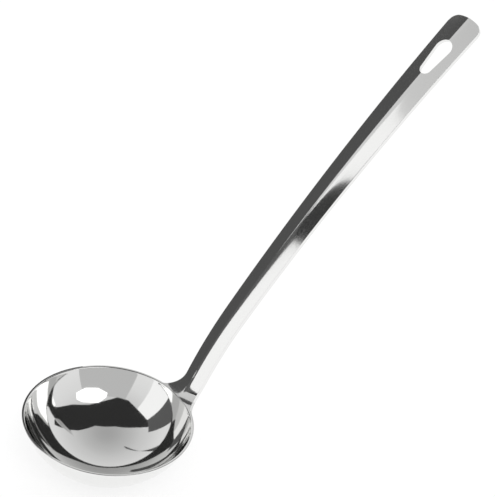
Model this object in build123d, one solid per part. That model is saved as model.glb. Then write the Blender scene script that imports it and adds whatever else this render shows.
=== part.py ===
"""Soup ladle in polished stainless steel: a drawn bowl and a pressed, ridged handle, joined by a flush seam.

The frame is +Z up with the bowl's mouth level. The origin is the centre of the mouth, in the plane
of the rim, and the handle rises over +X. Lengths are in millimetres and angles in degrees.
"""

import os
from math import cos, radians, sin, sqrt

from build123d import *

# Bowl
rim_diameter = 90.0
bowl_depth = 32.0
bowl_wall = 1.5

# Side profile of the handle: three arcs that follow one another smoothly, from the rim to the end.
# A lean is the slope of the handle against the level rim.
foot_lean = 35.5
neck_lean = 67.5
shank_lean = 56.6
end_lean = 46.8
neck_length = 11.7
bend_length = 42.0
shank_length = 198.5
foot_setback = 0.6

# Width and section of the handle, a sheet folded to a low ridge along its middle
neck_width = 14.2
end_width = 22.0
even_taper_share = 0.45
handle_thickness = 2.2
ridge_height = 1.2
side_bulge = 0.5

# Flared foot of the handle, which runs out along the rim
foot_half_angle = 20.0
foot_length = 10.5

# Rounded end of the handle
end_crown = 1.8
end_corner_radius = 4.5

# Hanging slot, an egg-shaped hole that is wider towards the end
slot_length = 22.3
slot_wide_diameter = 10.4
slot_narrow_diameter = 7.2
slot_end_margin = 15.7

# Seam between the rim and the foot
seam_height = 1.2

# Overrun of every cutting shape
overrun = 5.0

# Sections that the handle is lofted through: in the foot's flare, and past it, where they spread out
flare_sections = 7
shank_sections = 20
section_spread_power = 1.3

rim_radius = rim_diameter / 2
sphere_radius = (rim_radius**2 + bowl_depth**2) / (2 * bowl_depth)
sphere_centre = sphere_radius - bowl_depth
rim_inner_radius = sqrt((sphere_radius - bowl_wall) ** 2 - sphere_centre**2)
handle_length = neck_length + bend_length + shank_length


def side_profile(distance):
    """Point on the handle's mid line at this distance from the rim, and its slope there in radians."""
    leans = [radians(lean) for lean in (foot_lean, neck_lean, shank_lean, end_lean)]
    x, z, slope, left = rim_radius + foot_setback, 0.0, leans[0], distance
    for start, end, length in zip(leans, leans[1:], (neck_length, bend_length, shank_length)):
        slope = start + (end - start) * min(left / length, 1)
        arc_radius = length / (end - start)
        x += arc_radius * (sin(slope) - sin(start))
        z += arc_radius * (cos(start) - cos(slope))
        left -= length
        if left <= 0:
            break
    return x, z, slope


def handle_plane(distance):
    """Plane on the handle's mid line, with local X along the handle and Z out of its upper face."""
    x, z, slope = side_profile(distance)
    return Plane(
        origin=(x, 0, z),
        x_dir=(cos(slope), 0, sin(slope)),
        z_dir=(-sin(slope), 0, cos(slope)),
    )


def half_width(distance):
    """Half the handle's width, which grows evenly at first and faster towards the end."""
    share = distance / handle_length
    growth = even_taper_share * share + (1 - even_taper_share) * share**2
    return (neck_width + (end_width - neck_width) * growth) / 2


def section_points(distance):
    """Edge, middle of one flank and ridge of the upper face, then of the lower face, on the +Y side."""
    plane = handle_plane(distance)
    edge = Vector(0, half_width(distance), 0)
    ridge = Vector(0, 0, ridge_height)
    upper = (edge, (edge + ridge) / 2, ridge)
    lower = [point - Vector(0, 0, handle_thickness) for point in upper]
    return [plane.from_local_coords(point) for point in (*upper, *lower)]


def rim_points():
    """The same six points where the foot stands on the rim, which is round there."""
    points = []
    for radius in (rim_inner_radius, rim_radius):
        for turn in (radians(foot_half_angle), radians(foot_half_angle / 2), 0):
            points.append(Vector(radius * cos(turn), radius * sin(turn), 0))
    return points


def flared_points(turn):
    """Section points in the foot, where the handle runs out onto the rim as a quarter round does."""
    distance = foot_length * (1 - cos(turn))
    away = 1 - sin(turn)
    shifts = [rim - own for rim, own in zip(rim_points(), section_points(0))]
    return [own + shift * away for own, shift in zip(section_points(distance), shifts)]


def bowed_line(start, middle, end):
    """Smooth curve from start to end, through middle."""
    return Bezier(start, middle * 2 - (start + end) / 2, end).edge()


def section_wire(points, bulge):
    """Closed outline of one section: two flanks above, two below, and a rounded side each way."""
    edge, flank, ridge, low_edge, low_flank, low_ridge = points
    side = (edge + low_edge) / 2 + Vector(0, bulge, 0)
    near = (low_edge, side, edge, flank, ridge)
    across = [Vector(point.X, -point.Y, point.Z) for point in (flank, edge, side, low_edge, low_flank)]
    loop = (*near, *across, low_ridge, low_flank, low_edge)
    return Wire([bowed_line(*loop[number:number + 3]) for number in range(0, len(loop) - 1, 2)])


def handle_blank():
    """The handle with a square end and no slot, lofted from the rim through all its sections."""
    wires = []
    for number in range(flare_sections):
        turn = radians(90 * number / (flare_sections - 1))
        wires.append(section_wire(flared_points(turn), side_bulge * sin(turn)))
    for number in range(1, shank_sections + 1):
        share = (number / shank_sections) ** section_spread_power
        distance = foot_length + (handle_length - foot_length) * share
        wires.append(section_wire(section_points(distance), side_bulge))
    return Solid.make_loft(wires)


def end_trim():
    """What is cut off around the handle's end: past its crown, and outside its two rounded corners."""
    half_end = half_width(handle_length) + side_bulge
    reach = end_crown + end_corner_radius + overrun
    arc_radius = (half_end**2 + end_crown**2) / (2 * end_crown)
    kept = Pos(-reach / 2, 0) * Rectangle(reach, 2 * half_end) & Pos(-arc_radius, 0) * Circle(arc_radius)
    kept = fillet(kept.vertices().group_by(Axis.X)[-1], end_corner_radius)
    outline = Pos(overrun - reach / 2, 0) * Rectangle(reach, 2 * (half_end + overrun)) - kept
    return extrude(handle_plane(handle_length) * outline, amount=handle_thickness + overrun, both=True)


def slot_cutter():
    """The hanging slot: the hull of a wide round near the end and a narrow one below it."""
    wide_centre = handle_length - slot_end_margin - slot_wide_diameter / 2
    narrow_offset = slot_length - (slot_wide_diameter + slot_narrow_diameter) / 2
    wide = Circle(slot_wide_diameter / 2)
    narrow = Pos(-narrow_offset, 0) * Circle(slot_narrow_diameter / 2)
    outline = make_hull(wide.edges() + narrow.edges())
    return extrude(handle_plane(wide_centre) * outline, amount=handle_thickness + overrun, both=True)


def make_handle():
    """Pressed handle: lofted blank, crowned and rounded end, hanging slot."""
    return handle_blank() - end_trim() - slot_cutter()


def bowl_shell():
    """Spherical cup of even wall, cut level at the rim."""
    outer = Pos(0, 0, sphere_centre) * Sphere(sphere_radius)
    inner = Pos(0, 0, sphere_centre) * Sphere(sphere_radius - bowl_wall)
    size = 2 * (sphere_radius + sphere_centre)
    above = Pos(0, 0, size / 2) * Box(size, size, size)
    return outer - inner - above


def seam_wedge():
    """The stretch of the rim that the foot stands on, as a cutting shape."""
    turn = radians(foot_half_angle)
    far = (rim_radius + overrun) * cos(turn)
    across = (rim_radius + overrun) * sin(turn)
    outline = make_face(Polyline((0, 0), (far, across), (far, -across), close=True))
    return extrude(outline, amount=-seam_height)


shell = bowl_shell()
wedge = seam_wedge()
nodes = {
    "bowl": shell - wedge,
    "weld_seam": shell & wedge,
    "handle": make_handle(),
}

os.makedirs("parts", exist_ok=True)
for name, shape in nodes.items():
    export_step(shape, f"parts/{name}.step")
    print(name, "volume", round(shape.volume), "mm3")
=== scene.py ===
# %% [markdown]
# Soup ladle: finish and light
#
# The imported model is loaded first. It is the frame that every piece below is made in, in metres,
# with the rim of the bowl level at height zero and the handle rising over +X.

# %% Load the frame
from math import asin, atan2, cos, pi, radians, sin, sqrt

import bmesh
import bpy
from mathutils import Matrix, Quaternion, Vector


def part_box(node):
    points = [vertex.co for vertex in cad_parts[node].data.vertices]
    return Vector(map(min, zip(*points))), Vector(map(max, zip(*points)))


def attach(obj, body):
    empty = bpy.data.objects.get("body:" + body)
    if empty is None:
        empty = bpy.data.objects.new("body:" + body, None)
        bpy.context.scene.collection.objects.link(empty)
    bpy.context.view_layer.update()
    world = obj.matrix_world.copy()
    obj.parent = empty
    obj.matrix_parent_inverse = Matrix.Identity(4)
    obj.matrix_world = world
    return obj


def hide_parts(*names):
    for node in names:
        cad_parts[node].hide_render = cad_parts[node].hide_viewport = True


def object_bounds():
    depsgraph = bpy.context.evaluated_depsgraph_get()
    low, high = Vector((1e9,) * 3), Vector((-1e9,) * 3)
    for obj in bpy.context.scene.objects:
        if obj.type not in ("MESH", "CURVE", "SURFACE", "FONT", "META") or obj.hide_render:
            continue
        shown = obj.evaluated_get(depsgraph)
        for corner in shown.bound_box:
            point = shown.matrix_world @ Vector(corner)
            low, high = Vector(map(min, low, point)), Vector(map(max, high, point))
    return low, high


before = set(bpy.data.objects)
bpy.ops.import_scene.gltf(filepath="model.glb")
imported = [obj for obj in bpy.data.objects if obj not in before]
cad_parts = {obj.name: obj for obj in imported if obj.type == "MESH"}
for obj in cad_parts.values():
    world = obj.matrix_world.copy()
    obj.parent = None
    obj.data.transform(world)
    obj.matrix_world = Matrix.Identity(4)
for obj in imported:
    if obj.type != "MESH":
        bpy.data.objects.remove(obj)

cad_low, cad_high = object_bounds()
MM = 0.001
print("CAD box, mm:", [round(value / MM, 1) for value in (*cad_low, *cad_high)])

# %% [markdown]
# Camera
#
# The photograph looks down into the bowl from the side, with a long lens and a slightly rolled
# frame. The camera's place, the direction it looks in, its roll and its lens were fitted together to
# the outlines of the rim and the handle, so they are four values here. The direction is a vector,
# which to_track_quat turns into a rotation, and the roll is added about the line of sight.

# %% Camera
FRAME_WIDTH_PX = 495
camera_place = Vector((-325.1, -449.4, 448.4)) * MM
camera_aim = Vector((0.56780, 0.64175, -0.51551))
camera_roll = radians(10.8)
focal_length_px = 1356.6

camera_data = bpy.data.cameras.new("photo_camera")
camera_data.sensor_fit = "HORIZONTAL"
camera_data.lens = focal_length_px / FRAME_WIDTH_PX * camera_data.sensor_width
camera = bpy.data.objects.new("photo_camera", camera_data)
bpy.context.scene.collection.objects.link(camera)
turn = camera_aim.to_track_quat("-Z", "Y") @ Quaternion((0, 0, 1), camera_roll)
camera.matrix_world = Matrix.Translation(camera_place) @ turn.to_matrix().to_4x4()
bpy.context.scene.camera = camera
print("Lens, mm:", round(camera_data.lens, 1))

# %% [markdown]
# Helpers for meshes and materials
#
# A finished piece is an object at the origin with its place in its mesh. One function turns a
# bmesh into such an object, and one small function adds a node to a material.

# %% Mesh helper
sharp_angle = radians(35)
merge_distance = 0.01 * MM


def finished(bm, name, material):
    """An object at the origin from this bmesh, smooth apart from edges past the sharp angle."""
    mesh = bpy.data.meshes.new(name)
    bm.to_mesh(mesh)
    bm.free()
    for polygon in mesh.polygons:
        polygon.use_smooth = True
    mesh.set_sharp_from_angle(angle=sharp_angle)
    mesh.materials.append(material)
    piece = bpy.data.objects.new(name, mesh)
    bpy.context.scene.collection.objects.link(piece)
    print(name, "faces:", len(mesh.polygons))
    return piece


# %% Material helpers
def linear(hex_colour):
    """Linear red, green, blue and alpha of an sRGB hex colour."""
    values = [int(hex_colour[start:start + 2], 16) / 255 for start in (0, 2, 4)]
    return [v / 12.92 if v <= 0.04045 else ((v + 0.055) / 1.055) ** 2.4 for v in values] + [1]


def add_node(tree, kind, inputs=(), links=(), **settings):
    """Add a node with its settings, its input values and the links into it."""
    node = tree.nodes.new(kind)
    for key, value in settings.items():
        setattr(node, key, value)
    for key, value in dict(inputs).items():
        node.inputs[key].default_value = value
    for key, socket in dict(links).items():
        tree.links.new(socket, node.inputs[key])
    return node


def new_material(name):
    """An empty node material and its tree."""
    material = bpy.data.materials.new(name)
    material.use_nodes = True
    material.node_tree.nodes.clear()
    return material, material.node_tree


# %% [markdown]
# Polished stainless steel
#
# The ladle is stamped from stainless sheet and buffed on cloth wheels to a mirror. What the eye
# sees is mostly the studio around it, so the base colour is a bright neutral grey and the
# roughness is close to a mirror's. Buffing leaves two things that a perfect mirror lacks: hairlines
# a few hundredths of a millimetre apart, and a faint waviness a centimetre or so long, which bends
# straight reflections. Hairlines that fine can't show at this distance, so they are drawn coarser.

# %% Polished steel
STEEL_HEX = "ECECEB"
wave_length = 14 * MM
wave_depth = 0.2 * MM
hairline_spacing = 0.25 * MM
hairline_depth = 0.002 * MM
hairline_stretch = 40
hairline_noise_low, hairline_noise_high = 0.35, 0.7
roughness_low_share, roughness_high_share = 0.7, 1.5


def polished_steel(name, roughness, hairline_strength, wave_strength, along="Y"):
    """Buffed steel whose hairlines run along one axis of the piece."""
    material, tree = new_material(name)
    place = add_node(tree, "ShaderNodeTexCoord")
    stretch = [1 if axis != along else 1 / hairline_stretch for axis in "XYZ"]
    drawn = add_node(
        tree, "ShaderNodeMapping", {"Scale": stretch}, {"Vector": place.outputs["Object"]},
    )
    hairlines = add_node(
        tree, "ShaderNodeTexNoise",
        {"Scale": 1 / hairline_spacing, "Detail": 2.0, "Roughness": 0.5},
        {"Vector": drawn.outputs["Vector"]},
    )
    waves = add_node(
        tree, "ShaderNodeTexNoise",
        {"Scale": 1 / wave_length, "Detail": 1.0, "Roughness": 0.4},
        {"Vector": place.outputs["Object"]},
    )
    rough = add_node(
        tree, "ShaderNodeMapRange",
        {
            "From Min": hairline_noise_low,
            "From Max": hairline_noise_high,
            "To Min": roughness * roughness_low_share,
            "To Max": roughness * roughness_high_share,
        },
        {"Value": hairlines.outputs["Fac"]},
    )
    wave_bump = add_node(
        tree, "ShaderNodeBump", {"Strength": wave_strength, "Distance": wave_depth},
        {"Height": waves.outputs["Fac"]},
    )
    line_bump = add_node(
        tree, "ShaderNodeBump", {"Strength": hairline_strength, "Distance": hairline_depth},
        {"Height": hairlines.outputs["Fac"], "Normal": wave_bump.outputs["Normal"]},
    )
    surface = add_node(
        tree, "ShaderNodeBsdfPrincipled",
        {"Base Color": linear(STEEL_HEX), "Metallic": 1.0},
        {"Roughness": rough.outputs["Result"], "Normal": line_bump.outputs["Normal"]},
    )
    add_node(tree, "ShaderNodeOutputMaterial", (), {"Surface": surface.outputs["BSDF"]})
    return material


bowl_steel = polished_steel(
    "mirror_buffed_steel_bowl", roughness=0.05, hairline_strength=0.3, wave_strength=0.05,
)
handle_steel = polished_steel(
    "mirror_buffed_steel_handle", roughness=0.08, hairline_strength=0.4, wave_strength=0.05,
    along="X",
)
seam_steel = polished_steel(
    "ground_flush_steel_seam", roughness=0.12, hairline_strength=0.6, wave_strength=0.05,
)
print("Steels:", [steel.name for steel in (bowl_steel, handle_steel, seam_steel)])

# %% [markdown]
# Bowl
#
# The real bowl is a disc of sheet drawn into a spherical cup, then trimmed level at the rim. Here
# one vertex is spun about the sphere's centre to draw the wall's outline, and the outline is spun
# about the upright axis. Exact round rows keep the mirror true, which a coarse mesh would not.
# Under the handle's foot the rim belongs to the weld, so the wall gets a shallow notch there.

# %% Bowl sizes from the frame
bowl_low, bowl_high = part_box("bowl")
rim_radius = bowl_high[1]
bowl_depth = -bowl_low[2]
bowl_wall = 1.5 * MM
sphere_radius = (rim_radius**2 + bowl_depth**2) / (2 * bowl_depth)
sphere_centre = Vector((0, 0, sphere_radius - bowl_depth))
rim_inner_radius = sqrt((sphere_radius - bowl_wall) ** 2 - sphere_centre.z**2)
print("Sphere radius, mm:", round(sphere_radius / MM, 2))

# %% Wall outline
SPIN_STEPS = 144
WALL_STEPS = 36
seam_height = 1.2 * MM
seam_half_angle = radians(20)
lip_rounding = 0.7 * MM
LIP_SEGMENTS = 6


def wall_arc(bm, radius, low_height, high_height, steps):
    """Draw an arc about the sphere's centre in the XZ plane, between two heights; its upper end."""
    low_angle = asin((sphere_centre.z - low_height) / radius)
    high_angle = asin((sphere_centre.z - high_height) / radius)
    start = bm.verts.new((radius * cos(low_angle), 0, low_height))
    bmesh.ops.spin(
        bm, geom=[start], cent=sphere_centre, axis=(0, 1, 0),
        angle=high_angle - low_angle, steps=steps,
    )
    bm.verts.ensure_lookup_table()
    return bm.verts[-1]


def wall_section(bm, low_height, steps):
    """Draw the wall's section from a height up to the rim: outer arc, rounded lip, inner arc."""
    ends = []
    for radius in (sphere_radius, sphere_radius - bowl_wall):
        lowest = max(low_height, sphere_centre.z - radius)
        ends.append(wall_arc(bm, radius, lowest, 0, steps))
    lip = bm.edges.new(ends)
    bmesh.ops.bevel(
        bm, geom=list(lip.verts), offset=lip_rounding, segments=LIP_SEGMENTS, profile=0.5,
        affect="VERTICES", material=-1,
    )


# %% Wall
bm = bmesh.new()
wall_section(bm, -bowl_depth, WALL_STEPS)
bmesh.ops.spin(
    bm, geom=bm.verts[:] + bm.edges[:], cent=(0, 0, 0), axis=(0, 0, 1),
    angle=2 * pi, steps=SPIN_STEPS, use_merge=True,
)
bmesh.ops.remove_doubles(bm, verts=bm.verts, dist=merge_distance)
print("Bowl rows:", len(bm.verts) // SPIN_STEPS)


# %% Notch for the weld
def under_foot(face):
    """Whether a face of the wall lies in the stretch that the handle's foot stands on."""
    middle = face.calc_center_median()
    return abs(atan2(middle.y, middle.x)) < seam_half_angle


stretch = {face for face in bm.faces if under_foot(face)}
edges = {edge for face in stretch for edge in face.edges}
verts = {vert for face in stretch for vert in face.verts}
bmesh.ops.bisect_plane(
    bm, geom=[*verts, *edges, *stretch], plane_co=(0, 0, -seam_height), plane_no=(0, 0, 1),
)
above = [
    face for face in bm.faces
    if under_foot(face) and face.calc_center_median().z > -seam_height
]
bmesh.ops.delete(bm, geom=above, context="FACES")
notch_floor = [
    edge for edge in bm.edges
    if edge.is_boundary
    and all(abs(vert.co.z + seam_height) < merge_distance for vert in edge.verts)
]
bmesh.ops.bridge_loops(bm, edges=notch_floor)
bmesh.ops.holes_fill(bm, edges=bm.edges)
bmesh.ops.recalc_face_normals(bm, faces=bm.faces)
print("Open edges left:", sum(edge.is_boundary for edge in bm.edges))

# %% Finished bowl
bowl = finished(bm, "drawn_bowl", bowl_steel)
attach(bowl, "root")
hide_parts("bowl")

# %% [markdown]
# Handle
#
# The handle is a strip of thicker sheet, blanked with its slot and rounded end, and pressed so that
# it folds to a soft ridge along its middle and bends along its length. The mesh is made in that
# order: a flat grid is the blank, an extrusion gives it its thickness, a formula presses each
# vertex to its place, and a bevel rounds the edges as tumbling and buffing do.

# %% Side profile of the handle
foot_lean, neck_lean, shank_lean, end_lean = (radians(lean) for lean in (35.5, 67.5, 56.6, 46.8))
neck_length, bend_length, shank_length = 11.7 * MM, 42.0 * MM, 198.5 * MM
foot_setback = 0.6 * MM
foot_outer_drop = 0.6 * MM
handle_length = neck_length + bend_length + shank_length
neck_width, end_width = 14.2 * MM, 22.0 * MM
handle_thickness = 2.2 * MM
ridge_height = 1.2 * MM
ridge_softness_share = 0.16
even_taper_share = 0.45
foot_length = 10.5 * MM
end_crown = 1.8 * MM
end_corner_radius = 4.5 * MM
print("Handle along its curve, mm:", round(handle_length / MM, 1))


# %% Pressing the handle
def side_profile(distance):
    """Point on the handle's mid line at this distance from the rim, and its slope there."""
    x, z, slope, left = rim_radius + foot_setback, 0.0, foot_lean, distance
    arcs = (
        (foot_lean, neck_lean, neck_length),
        (neck_lean, shank_lean, bend_length),
        (shank_lean, end_lean, shank_length),
    )
    for start, end, length in arcs:
        slope = start + (end - start) * min(left / length, 1)
        arc_radius = length / (end - start)
        x += arc_radius * (sin(slope) - sin(start))
        z += arc_radius * (cos(start) - cos(slope))
        left -= length
        if left <= 0:
            break
    return x, z, slope


def half_width(distance):
    """Half the handle's width at a distance from the rim."""
    share = distance / handle_length
    growth = even_taper_share * share + (1 - even_taper_share) * share**2
    return (neck_width + (end_width - neck_width) * growth) / 2


def ridge(across_share):
    """Height of the folded face, from 0 at its edges to the ridge, whose crest is rounded off."""
    soft = sqrt(across_share**2 + ridge_softness_share**2)
    flat = sqrt(1 + ridge_softness_share**2)
    return ridge_height * (flat - soft) / (flat - ridge_softness_share)


def shank_point(distance, across_share, depth):
    """A point of the pressed handle, at a depth below its upper face."""
    x, z, slope = side_profile(distance)
    height = ridge(across_share) - depth
    y = across_share * half_width(distance)
    return Vector((x - sin(slope) * height, y, z + cos(slope) * height))


def foot_point(distance, across_share, depth):
    """A point of the foot, which runs out onto the rim as a quarter round does."""
    away = 1 - sqrt(max(0, 1 - (1 - min(distance / foot_length, 1)) ** 2))
    turn = seam_half_angle * across_share
    sunk = depth / handle_thickness
    radius = rim_inner_radius + (rim_radius - rim_inner_radius) * sunk
    rim = Vector((radius * cos(turn), radius * sin(turn), -foot_outer_drop * sunk))
    shift = rim - shank_point(0, across_share, depth)
    return shank_point(distance, across_share, depth) + shift * away


# %% Flat blank
half_columns = (
    0.0, 0.04, 0.08, 0.13, 0.2, 0.3, 0.42, 0.55, 0.68, 0.79, 0.88, 0.94, 0.98, 1.0,
)
column_shares = [-share for share in half_columns[:0:-1]] + list(half_columns)
FOOT_ROWS = 14
SHANK_ROWS = 110
end_shaping_start = 0.93

row_distances = [foot_length * (1 - cos(pi / 2 * row / FOOT_ROWS)) for row in range(FOOT_ROWS)]
step = (handle_length - foot_length) / SHANK_ROWS
row_distances += [foot_length + step * row for row in range(SHANK_ROWS + 1)]


def end_drop(across_share):
    """How far the handle's end lies back from its tip: a crown and two rounded corners."""
    half_end = half_width(handle_length)
    drop = end_crown * across_share**2
    beyond = abs(across_share) * half_end - (half_end - end_corner_radius)
    if beyond > 0:
        drop += end_corner_radius - sqrt(max(0, end_corner_radius**2 - beyond**2))
    return drop


bm = bmesh.new()
rows, columns = len(row_distances), len(column_shares)
bmesh.ops.create_grid(bm, x_segments=rows - 1, y_segments=columns - 1, size=0.5)
along = bm.verts.layers.float.new("along")
across = bm.verts.layers.float.new("across")
for vert in bm.verts:
    row = round((vert.co.x + 0.5) * (rows - 1))
    column = round((vert.co.y + 0.5) * (columns - 1))
    vert[across] = column_shares[column]
    past = row_distances[row] / handle_length - end_shaping_start
    reach = max(0, past / (1 - end_shaping_start))
    vert[along] = row_distances[row] - end_drop(vert[across]) * reach
print("Blank:", rows, "rows of", columns)

# %% Thickness and pressing
sheet = bmesh.ops.extrude_face_region(bm, geom=bm.faces[:], use_keep_orig=True)
upper = {item for item in sheet["geom"] if isinstance(item, bmesh.types.BMVert)}
for vert in bm.verts:
    depth = 0 if vert in upper else handle_thickness
    vert.co = foot_point(vert[along], vert[across], depth)
bmesh.ops.recalc_face_normals(bm, faces=bm.faces)
print("Pressed corners:", len(bm.verts))

# %% Rounded edges
edge_rounding = 0.8 * MM
EDGE_SEGMENTS = 4
rounded_past_angle = radians(50)

edges = [edge for edge in bm.edges if edge.calc_face_angle(0) > rounded_past_angle]
edges = [edge for edge in edges if min(vert[along] for vert in edge.verts) > 0]
bmesh.ops.bevel(
    bm, geom=edges, offset=edge_rounding, segments=EDGE_SEGMENTS, profile=0.5,
    affect="EDGES", clamp_overlap=True, material=-1,
)
handle = finished(bm, "pressed_handle", handle_steel)
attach(handle, "root")
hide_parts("handle")

# %% [markdown]
# Hanging slot
#
# The slot is punched through the real handle, and its edges are rounded with the rest when the
# piece is tumbled. A bmesh has no operator that cuts with another shape, so the punch is made as a
# solid of its own, taken away with a Boolean modifier, and the result is kept as the handle's mesh.

# %% Slot outline
slot_length, slot_wide, slot_narrow = 22.3 * MM, 10.4 * MM, 7.2 * MM
slot_end_margin = 15.7 * MM
SLOT_STEPS = 24
punch_reach = 3 * handle_thickness

wide_centre = handle_length - slot_end_margin - slot_wide / 2
narrow_offset = slot_length - (slot_wide + slot_narrow) / 2
tangent_lean = asin((slot_wide - slot_narrow) / 2 / narrow_offset)

bm = bmesh.new()
for centre, radius, start, sweep in (
    (0, slot_wide / 2, -pi / 2 - tangent_lean, pi + 2 * tangent_lean),
    (-narrow_offset, slot_narrow / 2, pi / 2 + tangent_lean, pi - 2 * tangent_lean),
):
    first = bm.verts.new((centre + radius * cos(start), radius * sin(start), 0))
    bmesh.ops.spin(
        bm, geom=[first], cent=(centre, 0, 0), axis=(0, 0, 1), angle=sweep, steps=SLOT_STEPS,
    )
bmesh.ops.contextual_create(bm, geom=bm.verts[:])
bm.faces.ensure_lookup_table()
print("Slot outline corners:", len(bm.verts), "faces:", len(bm.faces))

# %% Punch
x, z, slope = side_profile(wide_centre)
bmesh.ops.rotate(bm, cent=(0, 0, 0), matrix=Matrix.Rotation(-slope, 3, "Y"), verts=bm.verts)
bmesh.ops.translate(bm, vec=(x, 0, z), verts=bm.verts)
punch = Vector((-sin(slope), 0, cos(slope))) * punch_reach
bmesh.ops.translate(bm, vec=-punch, verts=bm.verts)
walls = bmesh.ops.extrude_face_region(bm, geom=bm.faces[:], use_keep_orig=True)
far_verts = [item for item in walls["geom"] if isinstance(item, bmesh.types.BMVert)]
bmesh.ops.translate(bm, vec=2 * punch, verts=far_verts)
bmesh.ops.recalc_face_normals(bm, faces=bm.faces)
cutter = finished(bm, "slot_punch", handle_steel)

# %% Punched handle
cut = handle.modifiers.new("slot", "BOOLEAN")
cut.object = cutter
cut.operation = "DIFFERENCE"
cut.solver = "EXACT"
bpy.context.view_layer.update()
holed = bpy.data.meshes.new_from_object(
    handle.evaluated_get(bpy.context.evaluated_depsgraph_get())
)
handle.modifiers.remove(cut)
bpy.data.objects.remove(cutter)

# %% Rounded slot edges
slot_rounding = 0.3 * MM
SLOT_EDGE_SEGMENTS = 3
slot_merge_distance = 0.005 * MM
slot_sharp_angle = radians(40)
slot_reach = slot_length / 2 + 1 * MM
slot_half_reach = slot_wide / 2 + 0.1 * MM
slot_middle = Vector((x, 0, z)) - (narrow_offset / 2) * Vector((cos(slope), 0, sin(slope)))

bm = bmesh.new()
bm.from_mesh(holed)
bmesh.ops.remove_doubles(bm, verts=bm.verts, dist=slot_merge_distance)
rim = [
    edge for edge in bm.edges
    if edge.calc_face_angle(0) > rounded_past_angle
    and all((vert.co - slot_middle).length < slot_reach for vert in edge.verts)
    and all(abs(vert.co.y) < slot_half_reach for vert in edge.verts)
]
bmesh.ops.bevel(
    bm, geom=rim, offset=slot_rounding, segments=SLOT_EDGE_SEGMENTS, profile=0.5,
    affect="EDGES", clamp_overlap=True, material=-1,
)
bm.to_mesh(holed)
bm.free()
holed.set_sharp_from_angle(angle=slot_sharp_angle)
handle.data = holed
weights = handle.modifiers.new("even_shading", "WEIGHTED_NORMAL")
weights.keep_sharp = True
print("Slot edges rounded:", len(rim), "handle faces:", len(holed.polygons))

# %% [markdown]
# Seam
#
# Where the two pieces meet, the weld is ground and buffed flush, so it is only a stretch of the rim
# with a slightly duller finish. It is the same wall section, spun through the foot's angle alone.

# %% Weld seam
SEAM_STEPS = 16
SEAM_WALL_STEPS = 2

bm = bmesh.new()
wall_section(bm, -seam_height, SEAM_WALL_STEPS)
bmesh.ops.rotate(
    bm, cent=(0, 0, 0), matrix=Matrix.Rotation(-seam_half_angle, 3, "Z"), verts=bm.verts
)
bmesh.ops.spin(
    bm, geom=bm.verts[:] + bm.edges[:], cent=(0, 0, 0), axis=(0, 0, 1),
    angle=2 * seam_half_angle, steps=SEAM_STEPS,
)
bmesh.ops.remove_doubles(bm, verts=bm.verts, dist=merge_distance)
bmesh.ops.holes_fill(bm, edges=bm.edges)
bmesh.ops.recalc_face_normals(bm, faces=bm.faces)
seam = finished(bm, "ground_seam", seam_steel)
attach(seam, "root")
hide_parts("weld_seam")

# %% [markdown]
# Floor and studio
#
# The ladle is photographed on white, in a studio of dark and light surfaces that its mirror finish
# shows. The world is white and lights the floor. The floor's material gives the camera and the
# mirrors plain white, and mixes in some real paper, which keeps the ladle's shadow.

# %% Floor
floor_width = 6.0
shadow_share = 0.3


def floor_material():
    """White paper that keeps part of the shadow which falls on it."""
    material, tree = new_material("white_paper_sweep")
    paper = add_node(tree, "ShaderNodeBsdfDiffuse", {"Color": linear("FFFFFF")})
    glow = add_node(tree, "ShaderNodeEmission", {"Color": linear("FFFFFF"), "Strength": 1.0})
    path = add_node(tree, "ShaderNodeLightPath")
    seen = add_node(
        tree, "ShaderNodeMath", (),
        {0: path.outputs["Is Camera Ray"], 1: path.outputs["Is Glossy Ray"]}, operation="MAXIMUM",
    )
    part = add_node(
        tree, "ShaderNodeMath", {1: 1 - shadow_share}, {0: seen.outputs["Value"]},
        operation="MULTIPLY",
    )
    mix = add_node(tree, "ShaderNodeMixShader", (), {0: part.outputs["Value"]})
    tree.links.new(paper.outputs["BSDF"], mix.inputs[1])
    tree.links.new(glow.outputs["Emission"], mix.inputs[2])
    add_node(tree, "ShaderNodeOutputMaterial", (), {"Surface": mix.outputs["Shader"]})
    return material


bm = bmesh.new()
bmesh.ops.create_grid(bm, x_segments=1, y_segments=1, size=floor_width / 2)
bmesh.ops.translate(bm, vec=(0, 0, cad_low[2]), verts=bm.verts)
floor = finished(bm, "floor", floor_material())

# %% World
world = bpy.data.worlds.new("white_studio")
bpy.context.scene.world = world
world.use_nodes = True
world.node_tree.nodes.clear()
sky = add_node(
    world.node_tree, "ShaderNodeBackground", {"Color": linear("FFFFFF"), "Strength": 1.0},
)
add_node(world.node_tree, "ShaderNodeOutputWorld", (), {"Surface": sky.outputs["Background"]})
print("World:", world.name)

# %% [markdown]
# Tent and cards
#
# A cloth tent greys towards its top. Side cards stand round the bowl as patches of a sphere, given
# by azimuths and elevations. One flat card stands beside the handle to darken one half of it, and
# two hang over the bowl: a dark roof and an eight-sided softbox. Only reflections see them. None is
# part of the ladle, and their places are a guess that gives the mirror what it shows.

# %% Card material
def card_material(name, grey_hex, strength=1.0):
    """Lit cloth or paper of one grey."""
    material, tree = new_material(name)
    glow = add_node(tree, "ShaderNodeEmission", {"Color": linear(grey_hex), "Strength": strength})
    add_node(tree, "ShaderNodeOutputMaterial", (), {"Surface": glow.outputs["Emission"]})
    return material


def seen_in_mirrors(piece):
    """Mark a stage piece that only reflections see."""
    piece.visible_camera = False
    piece.visible_diffuse = False
    piece.visible_shadow = False


# %% Diffusing tent
tent_radius = 4.0
TENT_COLUMNS, TENT_ROWS = 48, 24
tent_greys = (
    (0.0, "EFEFEF"), (0.42, "E6E6E6"), (0.77, "D1D1D1"), (0.94, "BBBBBB"), (1.0, "ADADAD"),
)


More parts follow.
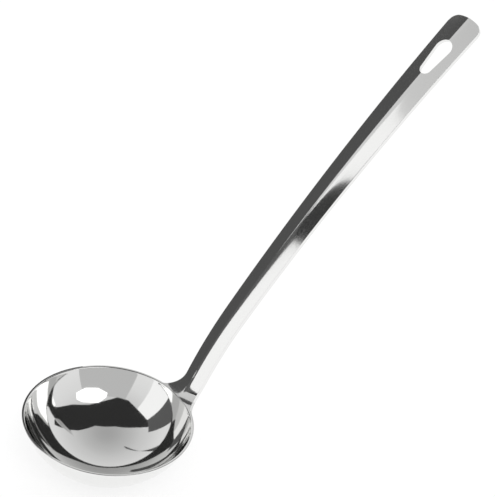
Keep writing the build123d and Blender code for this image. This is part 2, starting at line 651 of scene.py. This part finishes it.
def tent_material():
    """White cloth, lit from the sides, that turns greyer towards its top."""
    material, tree = new_material("diffusing_tent_cloth")
    place = add_node(tree, "ShaderNodeTexCoord")
    parts = add_node(tree, "ShaderNodeSeparateXYZ", (), {0: place.outputs["Object"]})
    height = add_node(
        tree, "ShaderNodeMapRange", {"From Max": tent_radius}, {"Value": parts.outputs["Z"]}
    )
    ramp = add_node(tree, "ShaderNodeValToRGB", (), {0: height.outputs["Result"]})
    while len(ramp.color_ramp.elements) < len(tent_greys):
        ramp.color_ramp.elements.new(0.5)
    for element, (place_share, grey_hex) in zip(ramp.color_ramp.elements, tent_greys):
        element.position = place_share
        element.color = linear(grey_hex)
    glow = add_node(tree, "ShaderNodeEmission", (), {"Color": ramp.outputs["Color"]})
    add_node(tree, "ShaderNodeOutputMaterial", (), {"Surface": glow.outputs["Emission"]})
    return material


bm = bmesh.new()
bmesh.ops.create_uvsphere(
    bm, u_segments=TENT_COLUMNS, v_segments=2 * TENT_ROWS, radius=tent_radius,
)
bmesh.ops.bisect_plane(
    bm, geom=bm.verts[:] + bm.edges[:] + bm.faces[:], plane_co=(0, 0, 0), plane_no=(0, 0, 1),
    clear_inner=True,
)
tent = finished(bm, "tent", tent_material())
seen_in_mirrors(tent)

# %% Side cards
CARD_COLUMNS, CARD_ROWS = 24, 12
far_distance = 3.6
near_distance = 0.7


def side_card(name, distance, bottom, top, grey_hex, strength=1.0):
    """A curved card that stands round the bowl.

    bottom and top are each an elevation, a first azimuth and a last azimuth, in degrees.
    """
    bm = bmesh.new()
    bmesh.ops.create_grid(bm, x_segments=CARD_COLUMNS, y_segments=CARD_ROWS, size=0.5)
    for vert in bm.verts:
        sideways, upwards = vert.co.x + 0.5, vert.co.y + 0.5
        low, first, last = (a + (b - a) * upwards for a, b in zip(bottom, top))
        turn = radians(first + (last - first) * sideways)
        rise = radians(low)
        vert.co = distance * Vector((cos(rise) * cos(turn), cos(rise) * sin(turn), sin(rise)))
    seen_in_mirrors(finished(bm, name, card_material(name, grey_hex, strength)))


side_card("bright_side_card", far_distance, (0, 150, 182), (46, 142, 182), "FFFFFF", strength=1.05)
side_card("dark_side_card", near_distance, (-2.5, 124, 152), (40, 130, 152), "5C5C5C")
side_card("grey_back_card", far_distance, (0, -156, -79), (42, -150, -79), "C3C3C3")


# %% Flat cards
def flat_card(name, corners, grey_hex, strength=1.0):
    """A flat card with these corners, in metres."""
    bm = bmesh.new()
    verts = [bm.verts.new(corner) for corner in corners]
    edges = [bm.edges.new(pair) for pair in zip(verts, verts[1:] + verts[:1])]
    bmesh.ops.triangle_fill(bm, edges=edges, use_beauty=True)
    seen_in_mirrors(finished(bm, name, card_material(name, grey_hex, strength)))


# %% Wing card
wing_root = Vector((0.0193, -0.0041, cad_low[2]))
wing_azimuth = radians(100)
wing_corners = (
    (0.05, 0.0), (0.05, 0.07), (0.09, 0.15), (0.14, 0.225), (0.22, 0.345), (0.33, 0.51),
    (0.6, 0.92), (1.6, 2.0), (1.6, 0.0),
)
outwards = Vector((cos(wing_azimuth), sin(wing_azimuth), 0))
wing_outline = [wing_root + outwards * out + Vector((0, 0, up)) for out, up in wing_corners]
flat_card("dark_wing_card", wing_outline, "525252")

# %% Roof cards
roof_height = 0.45
softbox_height = 0.95 * roof_height
roof_corner_shares = (
    (-1.06, 0.35), (-1.06, -0.45), (-0.80, -0.76), (0.13, -0.84), (0.80, -1.06), (2.1, -1.20),
    (2.2, -0.30), (0.68, -0.17), (0.18, -0.20), (-0.20, 0.0), (-0.57, 0.37), (-0.90, 0.78),
    (-1.06, 0.72),
)
softbox_corner_shares = (
    (0.70, -1.72), (0.20, -1.93), (-0.38, -1.62), (-0.60, -1.12), (-0.45, -0.92), (-0.15, -0.80),
    (0.38, -1.03), (0.62, -1.25),
)


def over_bowl(corner_shares, height):
    """Corners of a level card over the bowl, from shares of its height."""
    return [Vector((x, y, 1)) * height for x, y in corner_shares]


flat_card("dark_roof_card", over_bowl(roof_corner_shares, roof_height), "303030")
flat_card(
    "octagonal_softbox", over_bowl(softbox_corner_shares, softbox_height), "FFFFFF", strength=1.6,
)

# %% [markdown]
# Lamp and view
#
# A weak soft lamp above and behind the camera gives the shadow on the floor its direction.
# Neither the camera nor the mirrors see it. The view transform is Standard, so that a grey renders
# as it is written.

# %% Key lamp
lamp_place = Vector((-0.4, -0.8, 1.1))
lamp_size = 0.6
lamp_watts = 4.0

lamp_data = bpy.data.lights.new("soft_key", "AREA")
lamp_data.shape = "SQUARE"
lamp_data.size = lamp_size
lamp_data.energy = lamp_watts
lamp = bpy.data.objects.new("soft_key", lamp_data)
bpy.context.scene.collection.objects.link(lamp)
lamp.location = lamp_place
lamp.rotation_euler = (-lamp_place).to_track_quat("-Z", "Y").to_euler()
lamp.visible_glossy = False
lamp.visible_camera = False
print("Lamp from the ladle, m:", round(lamp_place.length, 2))

# %% View settings
bpy.context.scene.view_settings.view_transform = "Standard"
